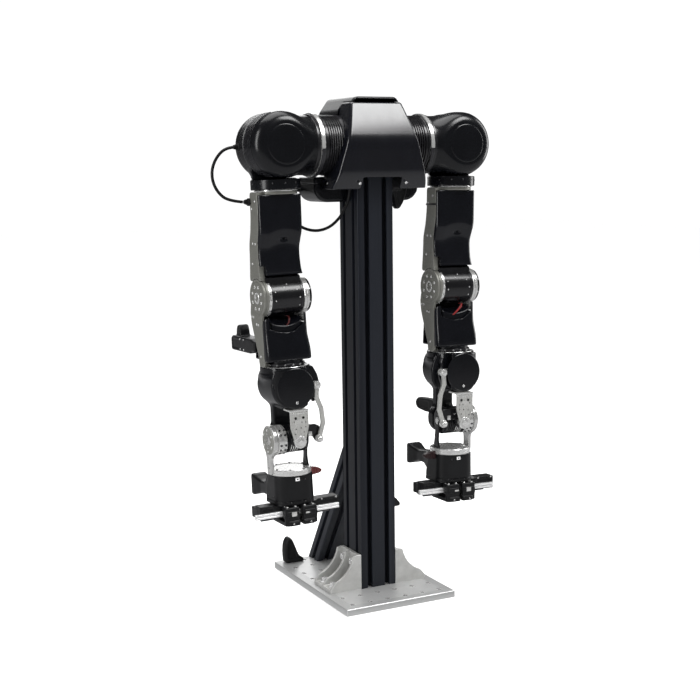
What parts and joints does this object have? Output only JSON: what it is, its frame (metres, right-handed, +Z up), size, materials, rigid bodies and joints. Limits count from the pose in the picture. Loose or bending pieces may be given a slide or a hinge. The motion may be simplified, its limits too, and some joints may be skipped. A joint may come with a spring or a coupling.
{
  "type": "two-arm collaborative robot on a column",
  "caption": "Two jointed robot arms with parallel grippers hang from a shoulder block on a slotted column, which stands on a drilled base plate.",
  "frame": {"origin": "On the axis of the column, on the underside of the base plate.", "axes": "+Z is up along the column, -Y is the front of the robot, +X is the robot's left hand side."},
  "size_m": [0.4515, 0.271, 0.76],
  "materials": {
    "black_gloss": "gloss",
    "black_metal": "black anodised, semi gloss",
    "black_moulded": "fine moulded grain",
    "black_profile": "black anodised, satin",
    "black_rubber": "matte",
    "black_satin": "satin",
    "brushed_plate": "brushed, clear anodised",
    "cable_jacket": "smooth jacket",
    "cast_aluminium": "bead blasted",
    "dark_metal": "satin",
    "grey_plate": "grey anodised",
    "machined_silver": "machined",
    "sheet_silver": "pressed sheet",
    "steel_fastener": "bright",
    "steel_rail": "ground"
  },
  "bodies": {
    "root": {"base_plate": "brushed_plate", "column_extrusion": "black_profile", "brace_extrusion": "black_profile", "base_gussets": "cast_aluminium", "gusset_bolts": "steel_fastener", "corner_fin": "black_rubber", "shoulder_block": "dark_metal", "shoulder_motors": "black_metal", "torso_front_cover": "black_gloss", "torso_rear_cover": "black_moulded", "torso_lower_box": "black_moulded", "clamp_lever": "black_moulded", "column_cable": "cable_jacket"},
    "right_shoulder": {"right_shoulder_body": "black_satin", "right_shoulder_ring": "machined_silver"},
    "right_yoke": {"right_roll_yoke": "black_satin", "right_yaw_flange": "machined_silver", "right_arm_cable": "cable_jacket"},
    "right_upper_arm": {"right_upper_arm_plate": "grey_plate", "right_upper_arm_cover": "black_gloss", "right_elbow_motor": "black_metal"},
    "right_forearm": {"right_forearm_plate": "grey_plate", "right_elbow_band": "machined_silver", "right_forearm_cover": "black_gloss", "right_forearm_box": "black_moulded"},
    "right_wrist": {"right_wrist_housing": "black_satin", "right_wrist_bracket": "sheet_silver"},
    "right_crank": {"right_wrist_crank": "sheet_silver"},
    "right_link": {"right_wrist_link": "sheet_silver"},
    "right_roll_block": {"right_hand_motor": "black_metal"},
    "right_hand": {"right_hand_yoke": "machined_silver", "right_gripper_body": "black_moulded", "right_hand_camera": "black_moulded", "right_gripper_beam": "black_moulded", "right_gripper_rail": "steel_rail"},
    "right_outer_finger": {"right_finger_outer": "black_moulded"},
    "right_inner_finger": {"right_finger_inner": "black_moulded"},
    "left_shoulder": {"left_shoulder_body": "black_satin", "left_shoulder_ring": "machined_silver"},
    "left_yoke": {"left_roll_yoke": "black_satin", "left_yaw_flange": "machined_silver"},
    "left_upper_arm": {"left_upper_arm_plate": "grey_plate", "left_upper_arm_cover": "black_gloss", "left_elbow_motor": "black_metal"},
    "left_forearm": {"left_forearm_plate": "grey_plate", "left_elbow_band": "machined_silver", "left_forearm_cover": "black_gloss"},
    "left_wrist": {"left_wrist_housing": "black_satin", "left_wrist_bracket": "sheet_silver", "left_wrist_paddle": "black_rubber"},
    "left_crank": {"left_wrist_crank": "sheet_silver"},
    "left_link": {"left_wrist_link": "sheet_silver"},
    "left_roll_block": {"left_hand_motor": "black_metal"},
    "left_hand": {"left_hand_yoke": "machined_silver", "left_gripper_body": "black_moulded", "left_hand_camera": "black_moulded", "left_gripper_beam": "black_moulded", "left_gripper_rail": "steel_rail"},
    "left_outer_finger": {"left_finger_outer": "black_moulded"},
    "left_inner_finger": {"left_finger_inner": "black_moulded"}
  },
  "joints": [
    {"name": "right_shoulder_pitch", "type": "hinge", "parent": "root", "child": "right_shoulder", "pos_m": [-0.1503, 0, 0.69], "axis": [-1, 0, 0], "range_deg": [-60, 180]},
    {"name": "right_shoulder_roll", "type": "hinge", "parent": "right_shoulder", "child": "right_yoke", "pos_m": [-0.1503, 0, 0.69], "axis": [0, 0.9997, -0.0262], "range_deg": [-2, 100]},
    {"name": "right_upper_arm_yaw", "type": "hinge", "parent": "right_yoke", "child": "right_upper_arm", "pos_m": [-0.14835, -0.00235, 0.60005], "axis": [0.0216, -0.0262, -0.9994], "range_deg": [-90, 90]},
    {"name": "right_elbow", "type": "hinge", "parent": "right_upper_arm", "child": "right_forearm", "pos_m": [-0.14554, -0.00576, 0.47013], "axis": [-0.9998, -0.0006, -0.0216], "range_deg": [0, 110]},
    {"name": "right_wrist_yaw", "type": "hinge", "parent": "right_forearm", "child": "right_wrist", "pos_m": [-0.14316, -0.00864, 0.36019], "axis": [0.0216, -0.0262, -0.9994], "range_deg": [-90, 90]},
    {"name": "right_hand_roll", "type": "hinge", "parent": "right_wrist", "child": "right_roll_block", "pos_m": [-0.14095, -0.01131, 0.25825], "axis": [0, 0.9997, -0.0262], "range_deg": [-18, 40]},
    {"name": "right_crank_turn", "type": "hinge", "parent": "right_wrist", "child": "right_crank", "pos_m": [-0.14268, -0.0392, 0.33899], "axis": [0, 0.9997, -0.0262], "range_deg": [-18, 40]},
    {"name": "right_link_turn", "type": "hinge", "parent": "right_crank", "child": "right_link", "pos_m": [-0.10869, -0.04518, 0.33988], "axis": [0, 0.9997, -0.0262], "range_deg": [-40, 18]},
    {"name": "right_hand_pitch", "type": "hinge", "parent": "right_roll_block", "child": "right_hand", "pos_m": [-0.14095, -0.0173, 0.25841], "axis": [-0.9998, -0.0006, -0.0216], "range_deg": [-80, 85]},
    {"name": "right_outer_finger_slide", "type": "slide", "parent": "right_hand", "child": "right_outer_finger", "axis": [-0.9998, -0.0006, -0.0216], "range_m": [-0.0023, 0.04]},
    {"name": "right_inner_finger_slide", "type": "slide", "parent": "right_hand", "child": "right_inner_finger", "axis": [0.9998, 0.0006, 0.0216], "range_m": [-0.0023, 0.04]},
    {"name": "left_shoulder_pitch", "type": "hinge", "parent": "root", "child": "left_shoulder", "pos_m": [0.1503, 0, 0.69], "axis": [-1, 0, 0], "range_deg": [-60, 180]},
    {"name": "left_shoulder_roll", "type": "hinge", "parent": "left_shoulder", "child": "left_yoke", "pos_m": [0.1503, 0, 0.69], "axis": [0, -0.9997, 0.0262], "range_deg": [-2, 100]},
    {"name": "left_upper_arm_yaw", "type": "hinge", "parent": "left_yoke", "child": "left_upper_arm", "pos_m": [0.14835, -0.00235, 0.60005], "axis": [0.0216, 0.0262, 0.9994], "range_deg": [-90, 90]},
    {"name": "left_elbow", "type": "hinge", "parent": "left_upper_arm", "child": "left_forearm", "pos_m": [0.14554, -0.00576, 0.47013], "axis": [-0.9998, 0.0006, 0.0216], "range_deg": [0, 110]},
    {"name": "left_wrist_yaw", "type": "hinge", "parent": "left_forearm", "child": "left_wrist", "pos_m": [0.14316, -0.00864, 0.36019], "axis": [0.0216, 0.0262, 0.9994], "range_deg": [-90, 90]},
    {"name": "left_hand_roll", "type": "hinge", "parent": "left_wrist", "child": "left_roll_block", "pos_m": [0.14095, -0.01131, 0.25825], "axis": [0, -0.9997, 0.0262], "range_deg": [-18, 40]},
    {"name": "left_crank_turn", "type": "hinge", "parent": "left_wrist", "child": "left_crank", "pos_m": [0.14268, -0.0392, 0.33899], "axis": [0, -0.9997, 0.0262], "range_deg": [-18, 40]},
    {"name": "left_link_turn", "type": "hinge", "parent": "left_crank", "child": "left_link", "pos_m": [0.10869, -0.04518, 0.33988], "axis": [0, -0.9997, 0.0262], "range_deg": [-40, 18]},
    {"name": "left_hand_pitch", "type": "hinge", "parent": "left_roll_block", "child": "left_hand", "pos_m": [0.14095, -0.0173, 0.25841], "axis": [-0.9998, 0.0006, 0.0216], "range_deg": [-35, 85]},
    {"name": "left_outer_finger_slide", "type": "slide", "parent": "left_hand", "child": "left_outer_finger", "axis": [0.9998, -0.0006, -0.0216], "range_m": [-0.0023, 0.04]},
    {"name": "left_inner_finger_slide", "type": "slide", "parent": "left_hand", "child": "left_inner_finger", "axis": [-0.9998, 0.0006, 0.0216], "range_m": [-0.0023, 0.04]}
  ],
  "couplings": [
    {"joint": "right_crank_turn", "follows": "right_hand_roll", "ratio": 1},
    {"joint": "right_link_turn", "follows": "right_hand_roll", "ratio": -1},
    {"joint": "right_inner_finger_slide", "follows": "right_outer_finger_slide", "ratio": 1},
    {"joint": "left_crank_turn", "follows": "left_hand_roll", "ratio": 1},
    {"joint": "left_link_turn", "follows": "left_hand_roll", "ratio": -1},
    {"joint": "left_inner_finger_slide", "follows": "left_outer_finger_slide", "ratio": 1}
  ]
}
